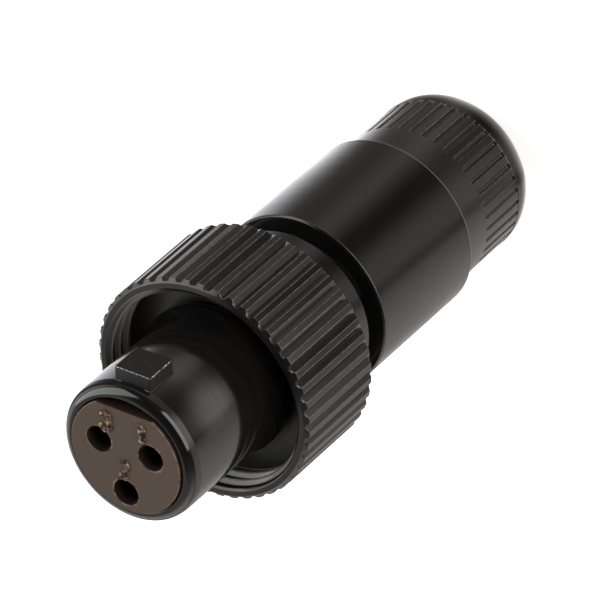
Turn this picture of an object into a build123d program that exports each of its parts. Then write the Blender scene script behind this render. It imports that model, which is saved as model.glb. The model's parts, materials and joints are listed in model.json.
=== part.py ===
from build123d import *
from math import atan2, cos, degrees, radians, sin, tan
import os

# Three-contact miniature cable socket with a knurled coupling ring, standing on its tail.
# Z runs up the axis from the cable hole to the mating face, the key points to -Y. Sizes are in millimetres.

# Fits
slide = 0.05                # radial play between turned pieces that slide into one another
contact_play = 0.02         # radial play of a contact in its cavity
end_play = 0.05             # play between faces that are clamped end to end

# Contact insert
insert_radius = 3.58
insert_proud = 0.2          # how far the mating face stands out of the shell's lip
insert_bevel = 0.05
shoulder_step = 0.17        # the rear shoulder is this much larger in radius
shoulder_length = 3.6
flat_distance = 3.03        # from the axis to the flat under the key
flat_depth = 1.0
contact_circle_radius = 1.97
contact_circle_offset = 0.38   # from the axis to the circle's centre, away from the key
contact_angles = {1: 150, 2: 270, 3: 30}   # seen from the mating face, the key at 90 degrees
entry_radius = 0.8          # hole in the mating face
entry_length = 1.5

# Socket contacts
barrel_radius = 0.95
barrel_bore_radius = 0.55
barrel_bore_depth = 4.8
slit_width = 0.2
slit_length = 3.6
cup_radius = 0.78
cup_bore_radius = 0.52
cup_length = 4.5            # behind the insert
cup_bore_depth = 3.2

# Plug shell
nose_wall = 0.74
nose_length = 3.79          # from the crease to the lip
lip_radius = 0.8
seat_depth = 6.72           # from the lip to the insert's seat
neck_wall = 0.62            # at the thin end of the tapering neck
neck_length = 4.68
flare_length = 0.6
flange_step = 0.42          # the flange stands this far out of the journal
flange_thickness = 0.35
journal_wall = 0.45
thread_length = 3.98        # the sleeve covers this much of the shell
key_width = 2.36
key_length = 2.2
key_height = 0.75
key_setback = 0.72          # from the lip to the key's front
key_plinth = 0.05           # the key's foot is this much wider on each side
key_plinth_height = 0.2

# Coupling ring
ring_gap = 0.66             # axial room behind the ring
flange_gap = 0.68           # axial room between the ring's web and the flange
hub_wall = 0.7
hub_length = 2.86
knurl_length = 6.57
cavity_depth = 2.25
coupling_thread_radius = 6.35
ring_wall = 0.4             # from the coupling thread to the bottom of the knurl
mouth_bevel = 0.07
tooth_depth = 0.27          # up to the flat on a tooth's crest
tooth_count = 46
tooth_flank_angle = 48      # between a flank and the radius
tooth_end_bevel = 0.2       # axial length of the bevel on the teeth's ends

# Body sleeve
sleeve_wall = 1.2
sleeve_bevel = 0.1

# Cable chuck
collar_thickness = 1.3
collar_play = 0.1           # radial play of the collar in the sleeve
finger_wall = 1.3
finger_slot = 0.7
finger_root = 1.0           # uncut length below the collar
finger_gap = 0.5            # from the cable hole's inner end to the finger tips

# Insulating tube
tube_wall = 0.4

# Rear cap
cap_shoulder = 0.73         # the cap stands this far out of its spigot
cap_length = 8.25
spigot_length = 3.67
dome_radius = 2.45
cable_hole_radius = 2.1
cable_hole_length = 1.8
cable_hole_bevel = 0.15
cone_start = 0.2            # the clamping cone starts this much wider than the cable hole
cone_height = 1.2
groove_count = 40
groove_width = 0.36
groove_depth = 0.12
groove_length = 3.43
groove_start = 2.54         # height of the grooves' lower ends
groove_turn = 1.2           # degrees from +X to the first groove, where the screwed cap comes to a stop

# Radii that follow, from the axis outwards
cavity_radius = barrel_radius + contact_play
shoulder_radius = insert_radius + shoulder_step
front_bore_radius = insert_radius + slide
rear_bore_radius = shoulder_radius + slide
nose_radius = front_bore_radius + nose_wall
neck_radius = front_bore_radius + neck_wall
journal_radius = rear_bore_radius + journal_wall
flange_radius = journal_radius + flange_step
ring_hole_radius = journal_radius + slide
hub_radius = ring_hole_radius + hub_wall
tooth_root_radius = coupling_thread_radius + ring_wall
tooth_crest_radius = tooth_root_radius + tooth_depth
sleeve_bore_radius = journal_radius + slide
sleeve_radius = sleeve_bore_radius + sleeve_wall
spigot_radius = sleeve_bore_radius - slide
cap_radius = spigot_radius + cap_shoulder
collar_radius = sleeve_bore_radius - collar_play
tube_radius = rear_bore_radius - slide
finger_radius = cable_hole_radius + finger_wall
cap_cavity_radius = finger_radius + slide
cone_radius = cable_hole_radius + cone_start

# Heights that follow, from the tail up
cone_top = cable_hole_length + cone_height
finger_end = cable_hole_length + finger_gap
spigot_end = cap_length + spigot_length
collar_bottom = spigot_end + end_play
collar_top = collar_bottom + collar_thickness
shell_bottom = collar_top + end_play
sleeve_top = shell_bottom + thread_length
hub_bottom = sleeve_top + ring_gap
knurl_bottom = hub_bottom + hub_length
ring_top = knurl_bottom + knurl_length
web_top = ring_top - cavity_depth
flange_bottom = web_top + flange_gap
flange_top = flange_bottom + flange_thickness
crease = flange_top + neck_length
lip = crease + nose_length
insert_seat = lip - seat_depth
face = lip + insert_proud
insert_bottom = insert_seat - shoulder_length
contact_top = face - entry_length - end_play
cup_bottom = insert_bottom - cup_length


def turned(*corners):
    """A solid of revolution about Z; corners are (radius, height) pairs in order round the section."""
    outline = Polyline(*[(radius, 0, height) for radius, height in corners], close=True)
    return revolve(make_face(outline.edges()), Axis.Z)


def rod(radius, bottom, top):
    """A plain cylinder on the axis between two heights."""
    return turned((0, bottom), (radius, bottom), (radius, top), (0, top))


def rim(solid, radius, height):
    """The round edges of a turned solid at this radius and height."""
    circles = solid.edges().filter_by(GeomType.CIRCLE)
    return [e for e in circles if abs(e.radius - radius) < 1e-4 and abs(e.arc_center.Z - height) < 1e-4]


def contact_place(number):
    """Centre of a contact; the key is at -Y, so the mating face is seen with X to the left."""
    angle = radians(contact_angles[number])
    return contact_circle_radius * cos(angle), contact_circle_offset - contact_circle_radius * sin(angle)


def make_plug_shell():
    """Nose with a rounded lip, tapering neck, flange, journal and threaded tail in one piece, with its key."""
    blank = turned(
        (0, shell_bottom),
        (journal_radius, shell_bottom),
        (journal_radius, flange_bottom),
        (flange_radius, flange_bottom),
        (flange_radius, flange_top),
        (neck_radius, flange_top + flare_length),
        (nose_radius, crease),
        (nose_radius, lip),
        (0, lip),
    )
    blank = fillet(rim(blank, nose_radius, lip), lip_radius)
    key_middle = lip - key_setback - key_length / 2
    key_top = nose_radius + key_height
    plinth_top = nose_radius + key_plinth_height
    upright = Rot(X=90) * Rectangle(key_width, key_length)
    foot = Rot(X=90) * Rectangle(key_width + 2 * key_plinth, key_length + 2 * key_plinth)
    blank += Pos(Z=key_middle) * extrude(upright, key_top, dir=(0, -1, 0))
    blank += Pos(Z=key_middle) * extrude(foot, plinth_top, dir=(0, -1, 0))
    blank -= rod(front_bore_radius, insert_seat, face)
    return blank - rod(rear_bore_radius, shell_bottom, insert_seat)


def make_contact_insert():
    """Moulded disc and shoulder with three stepped cavities and a flat under the key."""
    body = turned(
        (0, insert_bottom),
        (shoulder_radius, insert_bottom),
        (shoulder_radius, insert_seat),
        (insert_radius, insert_seat),
        (insert_radius, face),
        (0, face),
    )
    body = chamfer(rim(body, insert_radius, face), insert_bevel)
    beyond_flat = insert_radius - flat_distance + slide
    flat = Pos(0, -flat_distance, face - flat_depth) * Box(
        2 * insert_radius, beyond_flat, flat_depth, align=(Align.CENTER, Align.MAX, Align.MIN)
    )
    body -= flat
    for number in contact_angles:
        x, y = contact_place(number)
        body -= Pos(x, y) * rod(entry_radius, contact_top, face)
        body -= Pos(x, y) * rod(cavity_radius, insert_bottom, contact_top + end_play)
    return body


def make_socket_contact(number):
    """Turned pin with a slit spring bore in front and a solder cup behind."""
    contact = turned(
        (0, cup_bottom),
        (cup_radius, cup_bottom),
        (cup_radius, insert_bottom),
        (barrel_radius, insert_bottom),
        (barrel_radius, contact_top),
        (0, contact_top),
    )
    contact -= rod(barrel_bore_radius, contact_top - barrel_bore_depth, contact_top)
    slit = Box(2 * barrel_radius, slit_width, slit_length, align=(Align.CENTER, Align.CENTER, Align.MAX))
    contact -= Pos(Z=contact_top) * slit
    contact -= rod(cup_bore_radius, cup_bottom, cup_bottom + cup_bore_depth)
    scoop = Box(2 * cup_radius, cup_radius, cup_bore_depth, align=(Align.CENTER, Align.MIN, Align.MIN))
    contact -= Pos(Z=cup_bottom) * scoop
    x, y = contact_place(number)
    outward = contact_angles[number] + 90
    return Pos(x, y) * Rot(Z=-outward) * contact


def make_insulating_tube():
    """Thin tube round the solder cups, clamped between the insert and the chuck."""
    bottom = collar_top + end_play
    top = insert_bottom - end_play
    return rod(tube_radius, bottom, top) - rod(tube_radius - tube_wall, bottom, top)


def make_coupling_ring():
    """Knurled ring with a threaded mouth, a web that turns on the shell's journal and a smooth hub."""
    widening = degrees(atan2(tooth_depth, tooth_end_bevel))
    grip_end = extrude(tooth_flats(tooth_root_radius), tooth_end_bevel, taper=-widening)
    grip = extrude(tooth_flats(tooth_crest_radius), knurl_length - 2 * tooth_end_bevel)
    ring = Pos(Z=knurl_bottom + tooth_end_bevel) * grip
    ring += Pos(Z=knurl_bottom) * grip_end
    ring += Pos(Z=ring_top) * Rot(X=180) * grip_end
    ring += rod(hub_radius, hub_bottom, knurl_bottom)
    ring -= rod(coupling_thread_radius, web_top, ring_top)
    ring -= rod(ring_hole_radius, hub_bottom, web_top)
    ring = chamfer(rim(ring, coupling_thread_radius, ring_top), mouth_bevel)
    cutter_height = 2 * tooth_depth
    notch = extrude(v_notch(cutter_height, tooth_flank_angle), knurl_length)
    cutter = Pos(tooth_root_radius, 0, knurl_bottom) * notch
    return ring - [Rot(Z=360 / tooth_count * i) * cutter for i in range(tooth_count)]


def tooth_flats(distance):
    """Many-sided section with one flat for each tooth, this far from the axis."""
    return RegularPolygon(distance, tooth_count, major_radius=False)


def v_notch(height, flank_angle):
    """Section of a V that opens towards +X from its point at the origin."""
    spread = height * tan(radians(flank_angle))
    return make_face(Polyline((0, 0), (height, spread), (height, -spread), close=True).edges())


def make_body_sleeve():
    """Smooth tube that screws onto the shell in front and takes the cap behind."""
    sleeve = turned(
        (sleeve_bore_radius, cap_length),
        (sleeve_radius, cap_length),
        (sleeve_radius, sleeve_top),
        (sleeve_bore_radius, sleeve_top),
    )
    outer_rims = rim(sleeve, sleeve_radius, cap_length) + rim(sleeve, sleeve_radius, sleeve_top)
    return chamfer(outer_rims, sleeve_bevel)


def cone_at(height):
    """Radius of the cap's clamping cone at a height."""
    share = (height - cable_hole_length) / cone_height
    return cone_radius + share * (cap_cavity_radius - cone_radius)


def make_cable_chuck():
    """Split collet: a collar clamped behind the shell and four fingers that the cap's cone squeezes."""
    chuck = turned(
        (cable_hole_radius, finger_end),
        (cone_at(finger_end) - slide, finger_end),
        (finger_radius, cone_top),
        (finger_radius, collar_bottom),
        (collar_radius, collar_bottom),
        (collar_radius, collar_top),
        (cable_hole_radius, collar_top),
    )
    slot_length = collar_bottom - finger_root - finger_end
    slot = Pos(Z=finger_end) * Box(
        2 * collar_radius, finger_slot, slot_length, align=(Align.CENTER, Align.CENTER, Align.MIN)
    )
    return chuck - slot - Rot(Z=90) * slot


def make_rear_cap():
    """Domed cap with gripping grooves, a cable hole, an inner clamping cone and a spigot for the sleeve."""
    cap = turned(
        (cable_hole_radius, 0),
        (cap_radius, 0),
        (cap_radius, cap_length),
        (spigot_radius, cap_length),
        (spigot_radius, spigot_end),
        (cap_cavity_radius, spigot_end),
        (cap_cavity_radius, cone_top),
        (cone_radius, cable_hole_length),
        (cable_hole_radius, cable_hole_length),
    )
    cap = fillet(rim(cap, cap_radius, 0), dome_radius)
    cap = chamfer(rim(cap, cable_hole_radius, 0), cable_hole_bevel)
    groove = Pos(cap_radius - groove_depth, 0, groove_start) * Box(
        2 * groove_depth, groove_width, groove_length, align=(Align.MIN, Align.CENTER, Align.MIN)
    )
    return cap - [Rot(Z=groove_turn + 360 / groove_count * i) * groove for i in range(groove_count)]


pieces = {
    "plug_shell": make_plug_shell(),
    "contact_insert": make_contact_insert(),
    "insulating_tube": make_insulating_tube(),
    "coupling_ring": make_coupling_ring(),
    "body_sleeve": make_body_sleeve(),
    "cable_chuck": make_cable_chuck(),
    "rear_cap": make_rear_cap(),
}
for number in contact_angles:
    pieces[f"socket_contact_{number}"] = make_socket_contact(number)

os.makedirs("parts", exist_ok=True)
for name, solid in pieces.items():
    export_step(solid, f"parts/{name}.step")
print(f"overall length {face:.2f} mm, ring across {2 * tooth_crest_radius:.2f} mm")
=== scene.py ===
# %% [markdown]
# # A miniature three-contact cable socket
# The real object is a slim round audio connector. A keyed nose holds a moulded insert with three
# contact holes, a knurled ring turns on the body and screws on to the mating half, and a smooth
# sleeve and a grooved cap close the cable end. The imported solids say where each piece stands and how
# far it reaches, so the lesson starts by loading them and keeping the box that they fill.

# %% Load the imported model
import json
import bpy
import numpy as np
from mathutils import Matrix, Vector


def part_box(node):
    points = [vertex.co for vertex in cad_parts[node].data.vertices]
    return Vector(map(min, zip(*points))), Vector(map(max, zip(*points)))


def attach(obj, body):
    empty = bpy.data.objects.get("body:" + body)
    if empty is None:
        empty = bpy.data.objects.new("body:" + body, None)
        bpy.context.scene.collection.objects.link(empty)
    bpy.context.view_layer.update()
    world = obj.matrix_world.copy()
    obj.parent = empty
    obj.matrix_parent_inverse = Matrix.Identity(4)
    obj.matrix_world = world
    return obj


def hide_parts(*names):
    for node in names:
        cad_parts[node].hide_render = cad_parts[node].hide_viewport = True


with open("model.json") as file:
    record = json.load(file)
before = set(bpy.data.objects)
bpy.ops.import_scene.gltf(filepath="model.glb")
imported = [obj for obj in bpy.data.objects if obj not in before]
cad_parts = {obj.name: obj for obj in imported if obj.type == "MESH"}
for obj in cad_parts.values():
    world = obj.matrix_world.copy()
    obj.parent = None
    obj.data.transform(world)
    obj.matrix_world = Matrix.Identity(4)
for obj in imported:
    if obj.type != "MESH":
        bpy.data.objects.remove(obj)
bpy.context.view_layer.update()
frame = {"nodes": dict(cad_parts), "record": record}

MM = 0.001
print("solids", sorted(frame["nodes"]))

# %% [markdown]
# Every piece stands on the same axis, so three numbers say most about it: how far it reaches from
# the axis and the two heights between which it stands. They are read from the solids, so a piece
# made here stays where its solid is.

# %% Read reach and heights
def extent(node_name):
    """Reach from the axis along X, lowest height and highest height of a solid, in millimetres."""
    low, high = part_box(node_name)
    return high.x / MM, low.z / MM, high.z / MM


sleeve_radius, sleeve_bottom, sleeve_top = extent("body_sleeve")
cap_radius, cap_bottom, spigot_end = extent("rear_cap")
ring_reach, hub_bottom, ring_front = extent("coupling_ring")
flange_radius, shell_tail, lip = extent("plug_shell")
face = extent("contact_insert")[2]
key_top = -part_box("plug_shell")[0].y / MM
print(f"sleeve {sleeve_radius:.2f}, cap {cap_radius:.2f}, ring {ring_reach:.2f}, face at {face:.2f} mm")

# %% [markdown]
# Turned metal never has a razor edge: the tool leaves a small round, and that round is what catches
# the light. A section could be drawn with sharp corners and bevelled by a modifier, but an outline
# that rounds its own corners keeps each radius under control and needs no clean-up.

# %% Round the corners of a section
guard_length = 0.05


def unit(vectors):
    """Each vector divided by its own length."""
    return vectors / np.linalg.norm(vectors, axis=-1, keepdims=True)


def rounded(corners):
    """Closed section in (r, z) with every corner (r, z, radius, steps) replaced by an arc.

    With a and b the unit vectors from the corner to its neighbours and g the angle between them, the
    arc touches the sides radius / tan(g / 2) away from the corner, and its centre lies
    radius / sin(g / 2) along a + b. Points on the arc are the two touching spokes blended by the sines
    of their shares of the turn. One guard point on each side keeps smooth shading out of the flats.
    """
    corners = np.array(corners, float)
    points, radius, steps = corners[:, :2], corners[:, 2:3], corners[:, 3].astype(int)
    to_last, to_next = np.roll(points, 1, axis=0) - points, np.roll(points, -1, axis=0) - points
    a, b = unit(to_last), unit(to_next)
    half = np.arccos(np.clip((a * b).sum(1, keepdims=True), -1, 1)) / 2
    reach = radius / np.tan(half)
    free = np.linalg.norm(to_next, axis=1, keepdims=True) - reach - np.roll(reach, -1, axis=0)
    after = np.minimum(guard_length, free / 3)
    before = np.roll(after, 1, axis=0)
    centre = points + unit(a + b) * radius / np.sin(half)
    first, last = points + a * reach - centre, points + b * reach - centre
    turn = np.pi - 2 * half
    arcs = []
    for i, count in enumerate(steps):
        share = np.linspace(0, 1, count + 1)[:, None]
        spokes = first[i] * np.sin((1 - share) * turn[i]) + last[i] * np.sin(share * turn[i])
        arc = centre[i] + spokes / np.sin(turn[i])
        arcs.append(np.vstack([arc[0] + a[i] * before[i], arc, arc[-1] + b[i] * after[i]]))
    return np.concatenate(arcs)


def with_rows(section, rows):
    """The section with extra rows put between the two points that the first of them lies between."""
    start, end = section, np.roll(section, -1, axis=0)
    by_way_of = np.linalg.norm(rows[0] - start, axis=1) + np.linalg.norm(rows[0] - end, axis=1)
    detour = by_way_of - np.linalg.norm(end - start, axis=1)
    return np.insert(section, np.argmin(detour) + 1, rows, axis=0)


print("sections keep a guard of", guard_length, "mm beside each round")

# %% [markdown]
# A turned piece is its section carried round the axis. Blender's Spin or Screw would do that too,
# but grooves and teeth then need cutting. On a grid of (row, angle) the radius may also change with
# the angle, so knurls, grooves and threads are simply part of the surface, and both directions close
# on themselves without a seam. A second number at every point says how worn the edge is there.

# %% Carry a section round the axis
def make_piece(name, points, faces, wear):
    """A smooth mesh object from points in millimetres, faces as point numbers and one wear value a point."""
    mesh = bpy.data.meshes.new(name)
    mesh.from_pydata((points * MM).tolist(), [], faces)
    mesh.polygons.foreach_set("use_smooth", np.ones(len(faces), bool))
    mesh.attributes.new("wear", "FLOAT", "POINT").data.foreach_set("value", wear.ravel())
    piece = bpy.data.objects.new(name, mesh)
    bpy.context.scene.collection.objects.link(piece)
    print(f"{name}: {len(points)} points, {len(faces)} faces")
    return piece


def turned(name, radius, height, angle, wear):
    """Closed turned surface: point (i, j) is (radius cos angle_j, radius sin angle_j, height).

    radius, height and wear are grids of section rows by angles. Rows run up the outside and down the
    inside, so the four points (i, j), (i, j+1), (i+1, j+1), (i+1, j) make a face that looks outwards.
    """
    radius, height, wear = np.broadcast_arrays(radius, height, wear)
    angle = np.broadcast_to(angle, radius.shape)
    points = np.stack([radius * np.cos(angle), radius * np.sin(angle), height], axis=-1)
    number = np.arange(radius.size).reshape(radius.shape)
    beside, above = np.roll(number, -1, axis=1), np.roll(number, -1, axis=0)
    corner = np.roll(beside, -1, axis=0)
    faces = np.stack([number, beside, corner, above], axis=-1).reshape(-1, 4)
    return make_piece(name, points.reshape(-1, 3), faces.tolist(), wear)


def eased_ramp(x, start, end, ease):
    """Rises straight from 0 at start to 1 at end, with both bends eased by a parabola of half-width ease."""
    def bend(y):
        return np.where(y < -ease, 0, np.where(y > ease, y, (y + ease) ** 2 / (4 * ease)))
    return (bend(x - start) - bend(x - end)) / (end - start)


def bump_at(x, centre, half_width):
    """A smooth hump: 1 at the centre, falling as a cosine to 0 at half_width from it."""
    return 0.5 + 0.5 * np.cos(np.pi * np.clip((x - centre) / half_width, -1, 1))


print("turned surfaces close in both directions")

# %% [markdown]
# All outer metal is black anodised aluminium. The coat is a thin glassy layer on a dark base, so it
# behaves like black lacquer: almost no colour of its own, and reflections that grow bright towards
# the edges of each cylinder. Fine turning lines run round the axis, handling leaves cloudy patches in
# the gloss, and edges are rubbed down to a dull brownish grey. An image texture could hold all that,
# but noise in object coordinates has the right scale everywhere and needs no unwrapping.

# %% Small helpers for node trees
def add(tree, kind, sockets=(), **settings):
    """Adds a node; a plain value is set on its socket, a socket of another node is linked to it."""
    made = tree.nodes.new(kind)
    for key, value in settings.items():
        setattr(made, key, value)
    for key, value in dict(sockets).items():
        if isinstance(value, bpy.types.NodeSocket):
            tree.links.new(value, made.inputs[key])
        else:
            made.inputs[key].default_value = value
    return made


def reckon(tree, operation, a, b=0.0):
    """One sum: the output socket of a Math node."""
    return add(tree, "ShaderNodeMath", {0: a, 1: b}, operation=operation).outputs[0]


def product(tree, first, *others):
    """All the values multiplied together: the output socket of the last Math node."""
    for other in others:
        first = reckon(tree, "MULTIPLY", first, other)
    return first


def mix_colour(tree, share, a, b):
    """Colour a where share is 0, colour b where it is 1."""
    return add(tree, "ShaderNodeMix", {0: share, 6: a, 7: b}, data_type="RGBA").outputs[2]


def span(tree, value, low, high, to_low=0.0, to_high=1.0):
    """Maps value from low..high to to_low..to_high along an S-curve, held at both ends."""
    sockets = {0: value, 1: low, 2: high, 3: to_low, 4: to_high}
    return add(tree, "ShaderNodeMapRange", sockets, interpolation_type="SMOOTHSTEP").outputs[0]


def noise(tree, place, scale, detail=3.0):
    """Noise from 0 to 1 with this many features to the metre."""
    sockets = {"Vector": place, "Scale": scale, "Detail": detail}
    return add(tree, "ShaderNodeTexNoise", sockets).outputs[0]


def new_finish(name):
    """A new material, its tree, its main shader and object coordinates in metres."""
    material = bpy.data.materials.new(name)
    material.use_nodes = True
    tree = material.node_tree
    place = add(tree, "ShaderNodeTexCoord").outputs["Object"]
    return material, tree, tree.nodes["Principled BSDF"], place


def set_surface(tree, shader, colour, rough, relief, depth):
    """Links colour and roughness to the shader, and the relief as a bump of this depth in metres."""
    bump = add(tree, "ShaderNodeBump", {"Strength": 1.0, "Distance": depth, "Height": relief}).outputs[0]
    for socket, value in (("Base Color", colour), ("Roughness", rough), ("Normal", bump)):
        tree.links.new(value, shader.inputs[socket])


print("node helpers ready")

# %% Marks and bands on turned metal
def reach_from_axis(tree, place):
    """Distance from the axis, the place with its height left out, and the height, as three sockets."""
    x, y, z = add(tree, "ShaderNodeSeparateXYZ", {0: place}).outputs
    flat = add(tree, "ShaderNodeCombineXYZ", {0: x, 1: y}).outputs[0]
    return add(tree, "ShaderNodeVectorMath", {0: flat}, operation="LENGTH").outputs["Value"], flat, z


def turning_lines(tree, reach, flat, z):
    """Fine noise drawn out into lines round the axis, as a turning tool leaves them."""
    thin = add(tree, "ShaderNodeVectorMath", {0: flat, "Scale": 0.02}, operation="SCALE").outputs[0]
    rise = add(tree, "ShaderNodeCombineXYZ", {2: reckon(tree, "ADD", z, reach)}).outputs[0]
    drawn_out = add(tree, "ShaderNodeVectorMath", {0: thin, 1: rise}, operation="ADD").outputs[0]
    return noise(tree, drawn_out, 4500.0, 4.0)


def knurling_lines(tree, place):
    """Fine noise drawn out into lines along the axis, as a knurling tool leaves them."""
    grain = add(tree, "ShaderNodeMapping", {"Vector": place, "Scale": (1.0, 1.0, 0.04)}).outputs[0]
    return noise(tree, grain, 9000.0, 4.0)


def height_band(tree, z, low, high, soft=0.02):
    """1 between two heights and 0 outside them, passing over within soft of each, all in millimetres."""
    above = span(tree, z, (low - soft) * MM, (low + soft) * MM)
    return product(tree, above, span(tree, z, (high - soft) * MM, (high + soft) * MM, 1.0, 0.0))


def worn(tree):
    """The wear that each piece carries at its points."""
    return add(tree, "ShaderNodeAttribute", attribute_name="wear").outputs["Fac"]


print("lines run round or along the axis")

# %% Black anodised finish
deep_black = (0.0035, 0.0035, 0.004, 1), (0.0085, 0.008, 0.0075, 1)
handled_black = (0.005, 0.0047, 0.0042, 1), (0.011, 0.01, 0.0086, 1)
band_black, web_black = (0.0175, 0.0163, 0.0148, 1), (0.014, 0.0122, 0.0108, 1)
speck_brown, scratch_brown = (0.028, 0.024, 0.02, 1), (0.05, 0.042, 0.034, 1)
rubbed_grey = 0.17, 0.145, 0.12, 1


def anodised(name, gloss, line_depth, coat, knurl_from=None, dull=None, clouding=0.05):
    """Black anodised aluminium.

    gloss is its mean roughness, which clouds change by clouding either way; line_depth is the depth of
    its tool lines in metres, and coat the pair of colours between which the clouds vary. On a knurled
    piece the lines run along the axis outside the radius knurl_from, in millimetres. dull gives two
    heights in millimetres between which the coat is rougher, by how much, and its colour there; the
    outside of a knurl is left out of it.
    """
    material, tree, shader, place = new_finish(name)
    reach, flat, z = reach_from_axis(tree, place)
    lines = turning_lines(tree, reach, flat, z)
    if knurl_from:
        on_knurl = span(tree, reach, (knurl_from - 0.1) * MM, knurl_from * MM)
        along = knurling_lines(tree, place)
        lines = add(tree, "ShaderNodeMix", {0: on_knurl, 2: lines, 3: along}).outputs[0]
    clouds, grit = noise(tree, place, 260.0), noise(tree, place, 7000.0, 2.0)
    bare = span(tree, product(tree, worn(tree), reckon(tree, "ADD", grit, 0.35)), 0.3, 0.95, 0.0, 0.8)
    colour = mix_colour(tree, clouds, *coat)
    colour = mix_colour(tree, span(tree, grit, 0.66, 0.8, 0.0, 0.4), colour, speck_brown)
    if knurl_from:
        scratches = product(tree, on_knurl, span(tree, along, 0.62, 0.74, 0.0, 0.55))
        colour = mix_colour(tree, scratches, colour, scratch_brown)
    rough = span(tree, clouds, 0.3, 0.7, gloss - clouding, gloss + clouding)
    rough = reckon(tree, "ADD", rough, product(tree, bare, 0.2))
    if dull:
        low, high, rougher, tone = dull
        between = height_band(tree, z, low, high)
        if knurl_from:
            between = product(tree, between, reckon(tree, "SUBTRACT", 1.0, on_knurl))
        rough = reckon(tree, "ADD", rough, product(tree, between, rougher))
        colour = mix_colour(tree, between, colour, tone)
    set_surface(tree, shader, mix_colour(tree, bare, colour, rubbed_grey), rough, lines, line_depth)
    shader.inputs["IOR"].default_value = 1.5
    return material


def dress(piece, body, slot_name, finish, *solids):
    """Gives a new piece its finish and its body, and hides the solids that it stands for; slot_name is not
    used.
    """
    piece.data.materials.append(finish)
    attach(piece, body)
    if solids:
        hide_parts(*solids)


sleeve_finish = anodised("black_turned", 0.15, 9e-6, deep_black)
nose_finish = anodised("black_nose", 0.1, 2e-7, deep_black, clouding=0.025)
print("two turned black finishes")

# %% [markdown]
# The sleeve is the plain middle of the body, a thick tube whose two ends are broken by a narrow
# bevel. It could stay a solid from the frame, but its whole look is one long clean reflection and
# two bright thin edges, so it is turned again here with many sides and truly rounded bevels.

# %% Sleeve
sleeve_bore = 4.3
sleeve_bevel = 0.1
around = np.linspace(0, 2 * np.pi, 256, endpoint=False)
section = rounded([
    (sleeve_bore, sleeve_bottom, 0.05, 2),
    (sleeve_radius - sleeve_bevel, sleeve_bottom, 0.03, 2),
    (sleeve_radius, sleeve_bottom + sleeve_bevel, 0.05, 3),
    (sleeve_radius, sleeve_top - sleeve_bevel, 0.05, 3),
    (sleeve_radius - sleeve_bevel, sleeve_top, 0.03, 2),
    (sleeve_bore, sleeve_top, 0.05, 2),
])
r, z = section[:, :1], section[:, 1:]
at_front = 0.75 * bump_at(sleeve_top - z, sleeve_bevel, 0.05)
at_rear = 1.6 * bump_at(z - sleeve_bottom, sleeve_bevel, 0.1)
on_outside = r > sleeve_radius - 0.9 * sleeve_bevel
wear = (at_front + at_rear) * on_outside * np.ones_like(around)
sleeve = turned("sleeve_turned", r, z, around, wear)
dress(sleeve, "connector_body", "black_anodised", sleeve_finish, "body_sleeve")

# %% [markdown]
# The cap screws into the sleeve and squeezes the chuck on to the cable. Its dome runs into a band of
# forty grooves that give the fingers a hold. Cutting forty slots with booleans leaves ragged meshes,
# so the groove is a depth taken off the radius: a half ellipse across, round at its front end and
# square at its rear end, where a low step leads to the dome. Columns of the grid lie closer together
# at the edges of a groove, where the form turns. The dome is polished and the band is left duller.

# %% Grooves of the cap
groove_count = 40
groove_width = 0.36
groove_depth = 0.15
groove_start, groove_length = 2.54, 3.43
groove_end = groove_start + groove_length
groove_turn = np.radians(1.2)
band_step, step_fade = 0.025, 4.0
land_edge = 0.27
half_groove = groove_width / 2


def repeated(offsets, count, radius):
    """Angles of the same set of arc offsets (mm, at this radius) round each of count equal stations."""
    station = np.arange(count)[:, None] * 2 * np.pi / count
    return (station + np.sort(offsets) / radius).ravel(), np.tile(np.sort(offsets), count)


def groove_grid(offset, height):
    """Share of the full depth, and the distance d from the groove's middle line.

    The share is the root of 1 - (d / h)^2 with h half the width. The line stops half a width short of
    the front end, which makes that end round; the rear end is square.
    """
    distance = np.hypot(offset, np.maximum(height - groove_end + half_groove, 0))
    share = np.sqrt(np.clip(1 - (distance / half_groove) ** 2, 0, 1))
    return share * eased_ramp(height, groove_start, groove_start + 0.05, 0.01), distance


across = half_groove * np.sin(np.linspace(-np.pi / 2, np.pi / 2, 9))
half_pitch = np.pi * cap_radius / groove_count
land = np.array([-land_edge, -half_groove - 0.02, half_groove + 0.02, land_edge, half_pitch])
cap_angle, offset = repeated(np.concatenate([across, land]), groove_count, cap_radius)
cap_angle = cap_angle + groove_turn
print("cap columns", cap_angle.size)

# %% Cap
spigot_radius, cap_cavity, cable_hole = 4.25, 3.45, 2.1
cable_bevel, hole_end, cone_start, cone_end = 0.15, 1.8, 2.3, 3.0
cap_front = sleeve_bottom
dome = 2.45
section = rounded([
    (cable_hole + cable_bevel, cap_bottom, 0.04, 2),
    (cap_radius, cap_bottom, dome, 18),
    (cap_radius, cap_front, 0.06, 3),
    (spigot_radius, cap_front, 0.04, 2),
    (spigot_radius, spigot_end, 0.1, 2),
    (cap_cavity, spigot_end, 0.1, 2),
    (cap_cavity, cone_end, 0.05, 2),
    (cone_start, hole_end, 0.04, 2),
    (cable_hole, hole_end, 0.04, 2),
    (cable_hole, cap_bottom + cable_bevel, 0.04, 2),
])
end_rows = half_groove * (1 - np.cos(np.linspace(0, np.pi / 2, 7)))
band = np.concatenate([
    [groove_start - 0.03, groove_start - 0.01],
    groove_start + np.linspace(0, 0.06, 5), np.linspace(groove_start, groove_end, 8)[1:-1],
    groove_end - end_rows[::-1], [groove_end + 0.03, groove_end + 0.4],
])
section = with_rows(section, np.stack([np.full_like(band, cap_radius), band], axis=1))
r, z = section[:, :1], section[:, 1:]
on_band = (r > cap_radius - 0.01) & (z > groove_start - 0.2) & (z < groove_end + 0.5)
depth, distance = groove_grid(offset, z)
step = band_step * eased_ramp(z, groove_start - 0.02, groove_start, 0.005)
step = step * eased_ramp(-z, -groove_end, -step_fade, 0.2)
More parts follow.
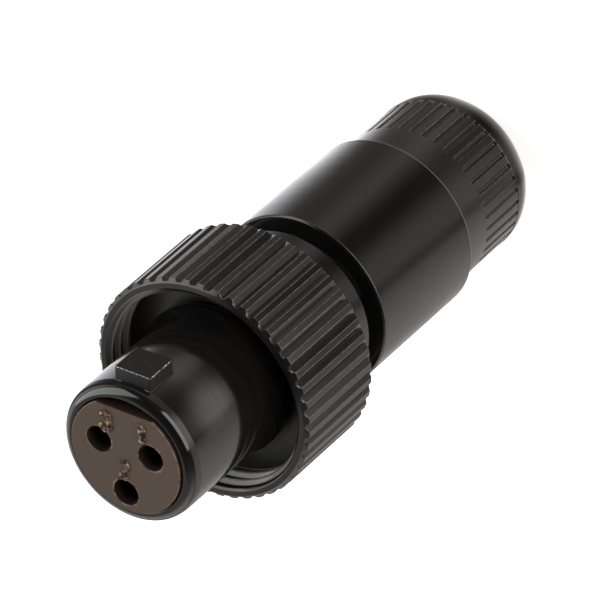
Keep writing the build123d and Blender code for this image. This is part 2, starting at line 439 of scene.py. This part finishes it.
groove_edge = 0.85 * bump_at(distance, half_groove, 0.04)
step_edge = 0.3 * bump_at(z, groove_start - 0.02, 0.03)
front_edge = 0.4 * bump_at(np.hypot(r - cap_radius, z - cap_front), 0, 0.07)
wear = np.minimum(on_band * (groove_edge + step_edge), 0.85) + front_edge
cap = turned("cap_grooved", r - on_band * (groove_depth * depth + step), z, cap_angle, wear)
dull_band = groove_start - 0.03, spigot_end, 0.06, band_black
cap_finish = anodised("black_cap", 0.17, 2e-6, deep_black, dull=dull_band)
dress(cap, "connector_body", "black_anodised", cap_finish, "rear_cap")

# %% [markdown]
# The coupling ring is held by its knurl: forty-six straight teeth with flat crests, notched by a V
# tool, with their ends bevelled so that they do not cut the fingers. The flat crest matters, because
# each one shows a single even tone, which a plain round would not. Inside its mouth is the screw
# thread that pulls the two halves together: a ridge that climbs one pitch for each turn, cut off by
# the bevel at the mouth. Both are functions of row and angle, so the ring is one closed mesh. Its
# finish has lines along the teeth, and the web at the bottom of the mouth is duller than the rest.

# %% Teeth of the ring
tooth_count = 46
bevel_radius, tooth_root, tooth_crest = 6.75, 6.81, 7.02
flank_run = 0.3
tooth_pitch = 2 * np.pi * tooth_crest / tooth_count
half_tooth = tooth_pitch / 2
bend_half, guard = 0.012, 0.05
at_bend = np.array([-guard, -bend_half, 0, bend_half, guard])
places = np.concatenate([[bend_half, guard], flank_run + at_bend])
columns = np.concatenate([-places, [0], places, [half_tooth]])
ring_angle, offset = repeated(columns, tooth_count, tooth_crest)
from_notch = np.abs(offset)
flat_crest = tooth_crest / np.cos((half_tooth - from_notch) / tooth_crest)
rise = eased_ramp(from_notch, 0, flank_run, bend_half)
tooth_radius = tooth_root + (flat_crest - tooth_root) * rise
tooth_edge = bump_at(from_notch, flank_run, 0.045)
flank = bump_at(from_notch, flank_run / 2, flank_run * 0.6)
print(f"ring columns {ring_angle.size}, crest flats {tooth_pitch - 2 * flank_run:.2f} mm wide")

# %% Thread of the ring
thread_radius, thread_pitch, thread_depth = 6.35, 0.79, 0.3
mouth_radius, mouth_slope = 6.42, 3.0
mouth_depth, crest_half = 2.25, 0.06
web_top = ring_front - mouth_depth
flank_length = thread_depth * np.tan(np.radians(30))


def thread_radius_at(height, angle):
    """Bore radius less a ridge that climbs one pitch a turn, not inside the bevel's cone at the mouth.

    The ridge's middle lies where height / pitch - angle / turn is a half; its flanks lean 30 degrees,
    and it fades out just above the web.
    """
    phase = np.mod(height / thread_pitch - angle / (2 * np.pi), 1)
    from_middle = np.abs(phase - 0.5) * thread_pitch
    ridge = thread_depth * (1 - eased_ramp(from_middle, crest_half, crest_half + flank_length, 0.05))
    ridge = ridge * eased_ramp(height, web_top + 0.1, web_top + 0.3, 0.05)
    return np.maximum(thread_radius - ridge, mouth_radius - mouth_slope * (ring_front - height))


thread_rows = np.linspace(ring_front - 0.04, web_top + 0.08, 52)
print(f"thread of {mouth_depth / thread_pitch:.1f} turns")

# %% Ring
ring_hole, hub_radius, hub_round = 4.3, 5.0, 0.25
knurl_length, tooth_bevel = 6.57, 0.2
knurl_bottom = ring_front - knurl_length
crest_rows = tooth_crest + 0.005
section = rounded([
    (ring_hole, hub_bottom, 0.05, 2),
    (hub_radius, hub_bottom, hub_round, 6),
    (hub_radius, knurl_bottom, 0.05, 2),
    (bevel_radius, knurl_bottom, 0.03, 2),
    (crest_rows, knurl_bottom + tooth_bevel, 0.04, 2),
    (crest_rows, ring_front - tooth_bevel, 0.04, 2),
    (bevel_radius, ring_front, 0.03, 2),
    (mouth_radius, ring_front, 0.02, 2),
    (thread_radius, web_top, 0.05, 2),
    (ring_hole, web_top, 0.05, 2),
])
section = with_rows(section, np.stack([np.full_like(thread_rows, thread_radius), thread_rows], axis=1))
share = np.linspace(0.22, 0.76, 9)
up_bevel = bevel_radius + (crest_rows - bevel_radius) * share
section = with_rows(section, np.stack([up_bevel, knurl_bottom + tooth_bevel * share], axis=1))
section = with_rows(section, np.stack([up_bevel, ring_front - tooth_bevel * share], axis=1)[::-1])
r, z = section[:, :1], section[:, 1:]
outside = (r > bevel_radius - 0.005) & (z >= knurl_bottom) & (z <= ring_front)
in_thread = (np.abs(r - thread_radius) < 1e-6) & (z < ring_front - 0.03) & (z > web_top + 0.07)
radius = np.where(outside, np.minimum(r, tooth_radius), r)
radius = np.where(in_thread, thread_radius_at(z, ring_angle), radius)
from_end = np.minimum(z - knurl_bottom, ring_front - z)
on_crest = outside & (from_end > tooth_bevel)
cut_edge = outside * bump_at(r - tooth_radius, 0, 0.045) * bump_at(from_end, tooth_bevel / 2, 0.2)
at_front = bump_at(np.hypot(r - bevel_radius, z - ring_front), 0, 0.06)
on_teeth = on_crest * np.maximum(0.8 * tooth_edge, 0.45 * flank)
wear = on_teeth + 0.45 * at_front + np.where(z > web_top, 1.0, 0.85) * cut_edge
on_ridge = in_thread * np.clip((thread_radius - radius) / thread_depth, 0, 1) ** 2
ring = turned("ring_knurled", radius, z, ring_angle, wear + 1.1 * on_ridge)
dull_web = web_top - 0.25, web_top + 0.035, 0.2, web_black
ring_finish = anodised("black_knurled", 0.2, 1.2e-6, handled_black, knurl_from=6.6, dull=dull_web)
dress(ring, "ring_body", "black_anodised", ring_finish, "coupling_ring")

# %% [markdown]
# The plug shell is turned from one bar: a nose whose lip is a narrow bevel and a round, a neck that
# flares into the flange that keeps the ring on, and a thin journal behind it on which the ring turns.
# A flare drawn as a cone shows its two edges, so the neck is a formula instead: a foot that dies away
# exponentially, plus a swell that rises as a square up to the crease, where the straight nose begins.

# %% Shell
bore, rear_bore, journal = 3.63, 3.8, 4.25
nose_radius = 4.37
lip_bevel, lip_lean, lip_round = 0.78, 0.113, 0.56
nose_length, seat_depth = 3.79, 6.72
neck_length, flange_width, foot_height = 4.68, 0.35, 0.68
crease, seat = lip - nose_length, lip - seat_depth
flange_top = crease - neck_length
flange_bottom = flange_top - flange_width
section = rounded([
    (rear_bore, shell_tail, 0.05, 2),
    (journal, shell_tail, 0.1, 2),
    (journal, flange_bottom, 0.03, 2),
    (flange_radius, flange_bottom, 0.05, 2),
    (flange_radius, flange_top, 0.02, 2),
    (nose_radius, crease, 0.02, 2),
    (nose_radius, lip - lip_bevel, 0.03, 2),
    (nose_radius - lip_lean, lip, lip_round, 16),
    (bore, lip, 0.04, 2),
    (bore, seat, 0.05, 2),
    (rear_bore, seat, 0.05, 2),
])
neck_rows = flange_top + 0.1 + (neck_length - 0.2) * np.linspace(0, 1, 28) ** 1.6
climb = (neck_rows - flange_top) / neck_length
chord = flange_radius + (nose_radius - flange_radius) * climb
section = with_rows(section, np.stack([chord, neck_rows], axis=1))
r, z = section[:, :1], section[:, 1:]


def neck_radius_at(height):
    """Journal radius, plus a foot that falls off as e^(-h / foot_height) to 0 at the crease, plus a swell.

    The swell rises as 1 - (1 - h / length)^2, so it meets the straight nose without a kink.
    """
    above = height - flange_top
    foot_part = np.exp(-above / foot_height) - np.exp(-neck_length / foot_height)
    swell = 1 - (1 - above / neck_length) ** 2
    return journal + (flange_radius - journal) * foot_part + (nose_radius - journal) * swell


on_neck = (z > flange_top + 0.09) & (z < crease - 0.01) & (r > rear_bore + 0.1)
r = np.where(on_neck, neck_radius_at(z), r)
wear = 0.3 * bump_at(np.hypot(r - nose_radius, z - lip + lip_bevel), 0, 0.1) * np.ones_like(around)
shell = turned("shell_turned", r, z, around, wear)
dress(shell, "connector_body", "black_anodised", nose_finish, "plug_shell")

# %% [markdown]
# The key is the square block on the nose that lets the plug in one way round only. A cube with a
# bevel modifier would be quick; here a rounded rectangle is carried up through a few levels, each a
# little larger or smaller than the last, which gives the foot, the upright sides and the softened top
# in one closed surface. Its top was filed flat, so its finish has straight slanting hairlines.

# %% Key
key_half_width, key_half_length, key_corner = 1.18, 1.1, 0.1
key_setback, foot = 0.72, 0.05
key_middle_z = lip - key_setback - key_half_length
# outset of the rectangle, lift, and 0 for a level of the foot or 1 for a level of the top
foot_levels = [(foot, -0.4, 0), (foot, 0.02, 0), (foot - 0.005, 0.045, 0),
               (0.014, 0.06, 0), (0.0, 0.07, 0), (0.0, 0.1, 0)]
top_levels = [(0.0, -0.1, 1), (0.0, -0.05, 1), (-0.008, -0.02, 1),
              (-0.03, -0.003, 1), (-0.05, 0.0, 1), (-0.1, 0.0, 1)]
outset, lift, at_top = np.hsplit(np.array(foot_levels + top_levels), 3)
quarter = np.linspace(0, np.pi / 2, 7)
turn = np.concatenate([quarter + k * np.pi / 2 for k in range(4)])
side_x = np.repeat([1, -1, -1, 1], quarter.size)
side_z = np.repeat([1, 1, -1, -1], quarter.size)


def key_surface():
    """Level k, point j: a corner's centre plus (corner + outset_k) times the direction turn_j.

    A foot level lies its lift above the round nose, the root of (radius + lift)^2 - x^2 from the axis;
    a top level lies its lift above the flat top.
    """
    x = side_x * (key_half_width - key_corner) + (key_corner + outset) * np.cos(turn)
    up = side_z * (key_half_length - key_corner) + (key_corner + outset) * np.sin(turn)
    height = np.where(at_top, key_top + lift, np.sqrt((nose_radius + lift) ** 2 - x ** 2))
    return np.stack([x, -height, key_middle_z + up], axis=-1)


def capped_tube(name, points, wear):
    """Closed skin over loops of points: quads between neighbouring loops and one face on each end loop."""
    number = np.arange(points.shape[0] * points.shape[1]).reshape(points.shape[:2])
    beside = np.roll(number, -1, axis=1)
    sides = np.stack([number[:-1], beside[:-1], beside[1:], number[1:]], axis=-1).reshape(-1, 4)
    faces = sides.tolist() + [number[0, ::-1].tolist(), number[-1].tolist()]
    return make_piece(name, points.reshape(-1, 3), faces, wear)


most_worn = np.maximum(np.clip(np.sin(turn), 0.2, 1), np.clip(-np.cos(turn), 0.2, 1))
on_edge = at_top * bump_at(lift, -0.012, 0.035) * (outset > -0.06)
on_foot = (1 - at_top) * bump_at(lift, 0.05, 0.03) * np.clip(np.sin(turn), 0, 1)
key = capped_tube("shell_key", key_surface(), on_edge * most_worn + 0.75 * on_foot)

# %% Filed finish of the key
filed_coat = (0.004, 0.004, 0.0045, 1), (0.009, 0.009, 0.0095, 1)
filed_edge = (0.3, 0.18, 0.1, 1), (0.55, 0.5, 0.44, 1)


def filed_black(name):
    """Black coat, with straight hairlines that slant across the filed top and dull milled sides."""
    material, tree, shader, place = new_finish(name)
    slant = {"Vector": place, "Rotation": (0.0, np.radians(35), 0.0), "Scale": (15000.0, 900.0, 900.0)}
    slanted = add(tree, "ShaderNodeMapping", slant).outputs[0]
    hair, grit = noise(tree, slanted, 1.0, 2.0), noise(tree, place, 9000.0, 2.0)
    bare = span(tree, product(tree, worn(tree), grit), 0.3, 0.5)
    tint = mix_colour(tree, span(tree, grit, 0.45, 0.65), *filed_edge)
    coat = mix_colour(tree, span(tree, hair, 0.55, 0.75), *filed_coat)
    y = add(tree, "ShaderNodeSeparateXYZ", {0: place}).outputs[1]
    side = span(tree, y, -(key_top - 0.02) * MM, -(key_top - 0.06) * MM)
    rough = reckon(tree, "ADD", span(tree, hair, 0.3, 0.7, 0.22, 0.3), product(tree, side, 0.35))
    set_surface(tree, shader, mix_colour(tree, bare, coat, tint), rough, hair, 4e-7)
    shader.inputs["Specular IOR Level"].default_value = 0.4
    return material


dress(key, "connector_body", "black_anodised", filed_black("black_filed"))

# %% [markdown]
# The insert is a brown thermoset moulding. Its solid already has the right shape, so only its finish changes:
# a matte, slightly mottled brown with fine filler specks. A pale ragged rim is painted round each contact
# hole as a painted highlight on its edge, and painted dark shade fills the hole's mouth and reaches out in
# ragged nicks; both are found by the distance from the hole's centre in the record. The outer edge of the
# face is paler too. The walls of the holes are painted dark below the face as painted shade, and the insert's
# side is painted dark red as painted shade.

# %% Rims of the contact holes
holes = [m for m in frame["record"]["mounts"] if m["name"].startswith("contact_hole")]
hole_radius = holes[0]["dims"]["r_mm"] * MM
# The pale rim colour is a painted highlight on the edges of the contact holes; the near-black nick colour is
# painted shade in their mouths.
rim_highlight_brown, hole_mouth_shade = (0.27, 0.175, 0.11, 1), (0.012, 0.006, 0.004, 1)


def in_hole(tree, away):
    """1 from a hole's axis out to just past its edge, 0 beyond; away is the distance from the axis."""
    return span(tree, away, hole_radius + 0.00001, hole_radius + 0.00003, 1.0, 0.0)


def rim_highlight_and_mouth_shade(tree, colour, away, tears, specks, chips):
    """The colour with a pale ragged rim painted as the highlight on the hole's edge, and painted dark shade
    in the hole's mouth that reaches out in nicks; away is the distance from the hole's axis.
    """
    ragged = reckon(tree, "ADD", away, product(tree, tears, 0.0006))
    rim = span(tree, ragged, hole_radius + 0.00032, hole_radius + 0.00038, 1.0, 0.0)
    rim = product(tree, rim, span(tree, specks, 0.36, 0.56, 0.25, 0.95))
    colour = mix_colour(tree, rim, colour, rim_highlight_brown)
    # Painted shade: the hole's mouth is darkened, and the dark reaches out over the face in ragged nicks.
    chipped = reckon(tree, "SUBTRACT", away, span(tree, chips, 0.5, 0.7, 0.0, 0.00008))
    return mix_colour(tree, in_hole(tree, chipped), colour, hole_mouth_shade)


print(len(holes), "contact holes of radius", hole_radius, "m")

# %% Insert finish
insert_gap = 0.05
insert_edge = bore - insert_gap
moulded = (0.065, 0.0435, 0.0305, 1), (0.084, 0.0575, 0.0405, 1)
# Hole walls: painted shade, near black deep down and dark brown near the face.
hole_wall_shade = (0.001, 0.0006, 0.0005, 1), (0.016, 0.0072, 0.0048, 1)
filler_brown, edge_brown = (0.1, 0.075, 0.055, 1), (0.24, 0.15, 0.095, 1)
# The side of the insert below its face: painted shade in dark red.
side_shade_brown = 0.018, 0.0105, 0.0075, 1


def moulded_brown(name):
    """Matte brown moulding with a pale edge, a dark red side painted as shade, ragged rims round the contact
    holes painted as highlights, and hole walls painted darker with depth as painted shade.
    """
    material, tree, shader, place = new_finish(name)
    mottle, specks = noise(tree, place, 900.0, 4.0), noise(tree, place, 12000.0, 2.0)
    tears, chips = noise(tree, place, 2600.0), noise(tree, place, 3600.0)
    reach, flat, z = reach_from_axis(tree, place)
    colour = mix_colour(tree, mottle, *moulded)
    colour = mix_colour(tree, span(tree, specks, 0.6, 0.75, 0.0, 0.5), colour, filler_brown)
    edge = span(tree, reach, (insert_edge - 0.07) * MM, (insert_edge - 0.03) * MM, 0.0, 0.65)
    colour = mix_colour(tree, product(tree, edge, span(tree, tears, 0.35, 0.6)), colour, edge_brown)
    # Painted shade on the side of the insert below the face.
    shaded_side = span(tree, z, (face - 0.09) * MM, (face - 0.06) * MM, 1.0, 0.0)
    colour = mix_colour(tree, shaded_side, colour, side_shade_brown)
    dark = 0.0
    for hole in holes:
        centre = (hole["pos_m"][0], hole["pos_m"][1], 0.0)
        away = add(tree, "ShaderNodeVectorMath", {0: flat, 1: centre}, operation="DISTANCE").outputs["Value"]
        colour = rim_highlight_and_mouth_shade(tree, colour, away, tears, specks, chips)
        dark = reckon(tree, "MAXIMUM", dark, in_hole(tree, away))
    # Painted shade in the holes: their walls grow darker with depth below the face.
    dark = product(tree, dark, span(tree, z, (face - 0.12) * MM, (face - 0.02) * MM, 1.0, 0.0))
    shaded_wall = mix_colour(tree, span(tree, z, (face - 0.8) * MM, (face - 0.1) * MM), *hole_wall_shade)
    rough = reckon(tree, "ADD", span(tree, mottle, 0.3, 0.7, 0.5, 0.62), product(tree, dark, 0.38))
    set_surface(tree, shader, mix_colour(tree, dark, colour, shaded_wall), rough, specks, 4e-6)
    shader.inputs["Specular IOR Level"].default_value = 0.22
    return material


def refinish(node_name, finish):
    """Puts one finish on every material slot of a solid that stays."""
    materials = frame["nodes"][node_name].data.materials
    materials.clear()
    materials.append(finish)
    print(node_name, "keeps its solid, finished in", finish.name)


refinish("contact_insert", moulded_brown("brown_moulded"))

# %% [markdown]
# The contacts are numbered on the mating face, as on every such connector. The figures stand up from
# the moulding as thin beads. Blender's text would give printed shapes with sharp outlines; a bead
# carried along a single pen stroke looks like the cut of a mould engraver's tool.

# %% Strokes of the figures
def arc_stroke(centre, radius, start, end, count=18):
    """Points on a circle about centre from one angle to another, in degrees."""
    angle = np.radians(np.linspace(start, end, count))
    return np.array(centre) + radius * np.stack([np.cos(angle), np.sin(angle)], axis=1)


def line_stroke(start, end, count=10):
    """Points on a straight line, without the first."""
    share = np.linspace(0, 1, count + 1)[1:, None]
    return np.array(start) * (1 - share) + np.array(end) * share


strokes = {
    "1": np.vstack([[(-0.22, 0.36)], line_stroke((-0.22, 0.36), (0.02, 0.56)),
                    line_stroke((0.02, 0.56), (0.02, -0.56))]),
    "2": np.vstack([arc_stroke((0.0, 0.3), 0.22, 165, -35), line_stroke((0.18, 0.17), (-0.24, -0.52)),
                    line_stroke((-0.24, -0.52), (0.28, -0.52))]),
    "3": np.vstack([arc_stroke((0.0, 0.28), 0.26, 190, -85), arc_stroke((0.0, -0.27), 0.29, 85, -190)]),
}
bead_widths, bead_height = {"1": 0.24, "2": 0.15, "3": 0.17}, 0.14
figure_places = {"1": (1.13, 1.92), "2": (-0.07, -0.85), "3": (-1.22, 2.0)}
print("strokes for", sorted(strokes))

# %% Figures
# Figure colours: painted shade in the hollows of the bump, painted coppery highlights on its tops.
figure_shade_to_brown = (0.014, 0.0075, 0.005, 1), (0.14, 0.086, 0.054, 1)
figure_painted_glint = 0.5, 0.31, 0.165, 1


def bead(name, stroke, right, up, bead_width):
    """Bead along a stroke: round it lie width * cos t across the stroke and height * sin t above the face.

    Both shrink at the two ends as the root of 1 - s^2, so the bead closes like a drop, and two sine waves
    along and round it make it ragged. Right and up are as seen with the key on top, which is -X and -Y.
    """
    run = np.concatenate([[0], np.cumsum(np.linalg.norm(np.diff(stroke, axis=0), axis=1))])
    short = np.clip(np.minimum(run, run[-1] - run) / bead_width, 0.02, 1)
    t = np.linspace(0, 2 * np.pi, 16, endpoint=False)
    ragged = 1 + 0.26 * np.sin(31 * run[:, None] + 2 * t) * np.cos(17 * run[:, None] - 3 * t)
    swell = np.sqrt(1 - (1 - short) ** 2)[:, None] * ragged
    tangent = unit(np.gradient(stroke, axis=0))
    across = np.stack([-tangent[:, 1], tangent[:, 0]], axis=1)
    flat = stroke[:, None] + across[:, None] * (swell * bead_width * np.cos(t))[..., None]
    height = face + swell * bead_height * np.sin(t)
    points = np.stack([-right - flat[..., 0], -up - flat[..., 1], height], axis=-1)
    return capped_tube(name, points[::-1], np.ones(height.shape))


def brown_with_painted_glints(name):
    """The moulding's brown on the figures, with painted shade in the hollows of the bump and painted coppery
    highlights on its tops.
    """
    material, tree, shader, place = new_finish(name)
    grains = noise(tree, place, 4200.0, 1.0)
    colour = mix_colour(tree, span(tree, grains, 0.38, 0.58), *figure_shade_to_brown)
    colour = mix_colour(tree, span(tree, grains, 0.6, 0.7), colour, figure_painted_glint)
    set_surface(tree, shader, colour, span(tree, grains, 0.3, 0.7, 0.55, 0.3), grains, 2e-5)
    shader.inputs["Specular IOR Level"].default_value = 0.25
    return material


figure_finish = brown_with_painted_glints("brown_figures")
for figure, (right, up) in figure_places.items():
    piece = bead(f"figure_{figure}", strokes[figure], right, up, bead_widths[figure])
    dress(piece, "connector_body", "brown_phenolic", figure_finish)

# %% [markdown]
# Inside are three plated brass contacts, a thin insulating tube and the split chuck that grips the
# cable. They show only through the contact holes and the cable hole, so their solids stay as they
# are, with finishes that hold up from close by: turning marks on brass, and cloudy pale nylon.

# %% Hidden pieces
def plated_brass(name):
    """Brass with faint turning rings and a cloudy tarnish."""
    material, tree, shader, place = new_finish(name)
    rings = add(tree, "ShaderNodeMapping", {"Vector": place, "Scale": (200.0, 200.0, 9000.0)}).outputs[0]
    marks, tarnish = noise(tree, rings, 1.0), noise(tree, place, 1500.0)
    colour = mix_colour(tree, tarnish, (0.78, 0.55, 0.22, 1), (0.58, 0.38, 0.14, 1))
    set_surface(tree, shader, colour, span(tree, marks, 0.3, 0.7, 0.2, 0.36), marks, 6e-7)
    shader.inputs["Metallic"].default_value = 1.0
    return material


def natural_nylon(name):
    """Pale nylon: cloudy off-white with a fine moulded grain."""
    material, tree, shader, place = new_finish(name)
    clouds, grain = noise(tree, place, 700.0), noise(tree, place, 9000.0)
    colour = mix_colour(tree, clouds, (0.68, 0.65, 0.58, 1), (0.78, 0.76, 0.71, 1))
    set_surface(tree, shader, colour, span(tree, clouds, 0.3, 0.7, 0.38, 0.5), grain, 3e-6)
    return material


brass, nylon = plated_brass("plated_brass"), natural_nylon("natural_nylon")
for number in (1, 2, 3):
    refinish(f"socket_contact_{number}", brass)
refinish("insulating_tube", nylon)
refinish("cable_chuck", nylon)

# %% [markdown]
# A black glossy part is lit by what it reflects, not by its lamps. Seen from above, every upright
# side of this one mirrors the table around it, so the table is the light: white, with four soft dark
# strips that run outwards from the part and draw the long dark bands on the barrel. On the camera's
# side a narrow bright patch, a dark gap beyond it and a wide patch farther out draw the bands on the
# nose. The camera sees the table as plain white with the part's own soft shadow.

# %% Floor
floor_reach, floor_drop = 0.6, 0.00002
camera_bearing = 231.24
floor_mesh = bpy.data.meshes.new("floor")
corner = floor_reach * np.array([(-1, -1, 0), (1, -1, 0), (1, 1, 0), (-1, 1, 0)]) - (0, 0, floor_drop)
floor_mesh.from_pydata(corner.tolist(), [], [(0, 1, 2, 3)])
floor = bpy.data.objects.new("floor", floor_mesh)
bpy.context.scene.collection.objects.link(floor)
print("floor", 2 * floor_reach, "m square")

# %% What the part mirrors of the table
# bearing from the camera's own (degrees), half-width that is fully dark, half-width where it ends, darkness
dark_strips = ((5, 45, 80, 0.33), (-45, 1, 10, 0.55), (11, 3, 34, 0.92), (76, 6, 38, 0.7))
# radii in metres over which each patch begins or ends
near_begins, near_ends, far_begins = (0.0366, 0.0384), (0.0398, 0.0414), (0.047, 0.056)
foot_ends, beside_ends, left_ends = (0.0044, 0.0064), (0.011, 0.021), (0.042, 0.056)


def table_level(tree, bearing, radius):
    """Brightness of the table in reflections, at a bearing in degrees and a radius in metres.

    The level is the product of slow changes with the bearing and one trough for each dark strip. In
    front it is lowered beyond the near patch, and the near and the far patch are added. On the left it
    rises beside the part and ends early. A bright ring at the foot is added all round.
    """
    level = product(tree, span(tree, bearing, -130, -80, 0.62, 1.0), span(tree, bearing, 96, 128, 1.0, 1.5))
    beside = product(tree, span(tree, bearing, 80, 104), span(tree, radius, *beside_ends, 0.4, 0.0))
    level = product(tree, level, reckon(tree, "ADD", 1.0, beside), span(tree, bearing, -162, -146, 0.62, 1.0))
    for middle, dark_half, end_half, darkness in dark_strips:
        off = reckon(tree, "ABSOLUTE", reckon(tree, "SUBTRACT", bearing, middle))
        level = product(tree, level, span(tree, off, dark_half, end_half, 1 - darkness, 1.0))
    to_left = span(tree, bearing, 56, 80, 1.0, 0.0)
    in_front = product(tree, span(tree, bearing, -64, -44), to_left)
    gap = product(tree, in_front, span(tree, radius, *near_ends, 0.0, 0.65))
    level = product(tree, level, reckon(tree, "SUBTRACT", 1.0, gap))
    near = product(tree, span(tree, bearing, -62, -34), span(tree, bearing, -20, 24, 2.3, 0.55), to_left)
    near = product(tree, near, span(tree, radius, *near_begins), span(tree, radius, *near_ends, 1.0, 0.0))
    far = product(tree, span(tree, bearing, -54, -36, 0.35, 1.0), span(tree, bearing, -14, 10, 1.9, 0.4))
    far = product(tree, far, in_front, span(tree, radius, *far_begins))
    level = reckon(tree, "ADD", level, reckon(tree, "ADD", near, far))
    on_left = product(tree, span(tree, bearing, 80, 96), span(tree, bearing, 150, 170, 1.0, 0.0))
    past_end = product(tree, on_left, span(tree, radius, *left_ends, 0.0, 0.85))
    level = product(tree, level, reckon(tree, "SUBTRACT", 1.0, past_end))
    return reckon(tree, "ADD", level, span(tree, radius, *foot_ends, 0.8, 0.0))


print(len(dark_strips), "dark strips on the table")

# %% Table finish
warm_white, cool_white, paper_white = (1.0, 0.935, 0.88, 1), (0.97, 0.97, 1.0, 1), (0.82, 0.82, 0.82, 1)


def table_finish(name):
    """White table: matte for light and shadow, and with its dark strips for what is mirrored in the part."""
    material = bpy.data.materials.new(name)
    material.use_nodes = True
    tree = material.node_tree
    tree.nodes.clear()
    place = add(tree, "ShaderNodeTexCoord").outputs["Object"]
    to_camera = 0.0, 0.0, -np.radians(camera_bearing)
    facing = add(tree, "ShaderNodeMapping", {"Vector": place, "Rotation": to_camera}).outputs[0]
    x, y = add(tree, "ShaderNodeSeparateXYZ", {0: facing}).outputs[:2]
    bearing = product(tree, reckon(tree, "ARCTAN2", y, x), np.degrees(1.0))
    radius = add(tree, "ShaderNodeVectorMath", {0: place}, operation="LENGTH").outputs["Value"]
    shade = mix_colour(tree, span(tree, bearing, 70, 120), warm_white, cool_white)
    path = add(tree, "ShaderNodeLightPath").outputs
    seen = product(tree, path["Is Camera Ray"], 0.7)
    mirrored = reckon(tree, "MAXIMUM", path["Is Glossy Ray"], path["Is Transmission Ray"])
    matte = add(tree, "ShaderNodeBsdfDiffuse", {"Color": paper_white}).outputs[0]
    lift = add(tree, "ShaderNodeEmission", {"Strength": seen}).outputs[0]
    lit = add(tree, "ShaderNodeAddShader", {0: matte, 1: lift}).outputs[0]
    level = table_level(tree, bearing, radius)
    strips = add(tree, "ShaderNodeEmission", {"Color": shade, "Strength": level}).outputs[0]
    both = add(tree, "ShaderNodeMixShader", {0: mirrored, 1: lit, 2: strips}).outputs[0]
    add(tree, "ShaderNodeOutputMaterial", {"Surface": both})
    return material


floor_mesh.materials.append(table_finish("white_table"))
print("the table looks white and mirrors dark strips")

# %% [markdown]
# The rest of the studio is a white tent, which here is the world. It is bright behind the part and
# open towards the photographer, where the room is dark: that dark opening is what the front of the
# lip mirrors. Higher up the tent is dimmer, and overhead it is nearly dark. Two soft boxes stand in
# it, a wide low one beside the camera and a higher one to the left.

# %% World
def bearing_direction(bearing, elevation):
    """Unit vector at a bearing from the camera's own and an elevation, both in degrees."""
    turn, rise = np.radians(camera_bearing + bearing), np.radians(elevation)
    return Vector((np.cos(rise) * np.cos(turn), np.cos(rise) * np.sin(turn), np.sin(rise)))


world = bpy.data.worlds.new("white_tent")
bpy.context.scene.world = world
world.use_nodes = True
tree = world.node_tree
background = tree.nodes["Background"]
direction = add(tree, "ShaderNodeTexCoord").outputs["Generated"]
both_directions = {0: direction, 1: bearing_direction(0, 0)}
towards = add(tree, "ShaderNodeVectorMath", both_directions, operation="DOT_PRODUCT").outputs["Value"]
height = add(tree, "ShaderNodeSeparateXYZ", {0: direction}).outputs[2]
dimmer, overhead = span(tree, height, 0.42, 0.62, 1.0, 0.4), span(tree, height, 0.74, 0.88, 1.0, 0.12)
tent = product(tree, span(tree, towards, -0.55, 0.45, 1.45, 0.06), overhead, dimmer)
seen = add(tree, "ShaderNodeLightPath").outputs["Is Camera Ray"]
tree.links.new(reckon(tree, "MAXIMUM", tent, seen), background.inputs["Strength"])
background.inputs["Color"].default_value = (1.0, 0.965, 0.93, 1)
print("tent open at bearing", camera_bearing)

# %% Soft boxes
lamp_distance = 0.5


def soft_box(name, bearing, elevation, width, height, level, tint):
    """Lamp aimed at the lip, as many degrees wide and high as asked, as bright as level times white paper."""
    data = bpy.data.lights.new(name, "AREA")
    data.shape = "RECTANGLE"
    data.size, data.size_y = (2 * lamp_distance * np.tan(np.radians(side / 2)) for side in (width, height))
    data.energy = level * np.pi * data.size * data.size_y
    data.color = tint
    lamp = bpy.data.objects.new(name, data)
    ahead = bearing_direction(bearing, elevation)
    lamp.location = ahead * lamp_distance + Vector((0, 0, lip * MM))
    lamp.rotation_euler = (-ahead).to_track_quat("-Z", "Y").to_euler()
    lamp.visible_camera = False
    bpy.context.scene.collection.objects.link(lamp)
    print(f"{name}: {data.energy:.2f} W")


soft_box("low_box", -18, 14, 58, 38, 4.4, (1.0, 0.97, 0.94))
soft_box("left_box", 113, 43, 72, 38, 3.0, (0.97, 0.98, 1.0))

# %% [markdown]
# The camera stands where the photographer stood: about half a metre away with a long lens, looking
# down at the mating face, and rolled so that the key is on top. Its place and directions were fitted
# once to edges of the part in the picture.

# %% Camera
camera_place = Vector((-205.7, -256.5, 321.32)) * MM
camera_right = Vector((-0.8335, 0.0144, -0.5523)).normalized()
camera_ahead = Vector((0.4597, 0.5726, -0.6788)).normalized()
camera_up = camera_right.cross(camera_ahead)
lens = bpy.data.cameras.new("camera")
lens.lens, lens.sensor_width, lens.clip_start = 480, 36, 0.02
camera = bpy.data.objects.new("camera", lens)
turning = Matrix((camera_right, camera_up, -camera_ahead)).transposed().to_4x4()
camera.matrix_world = Matrix.Translation(camera_place) @ turning
bpy.context.scene.collection.objects.link(camera)
bpy.context.scene.camera = camera
bpy.context.scene.view_settings.view_transform = "Standard"
print("camera at", [round(v, 4) for v in camera_place])
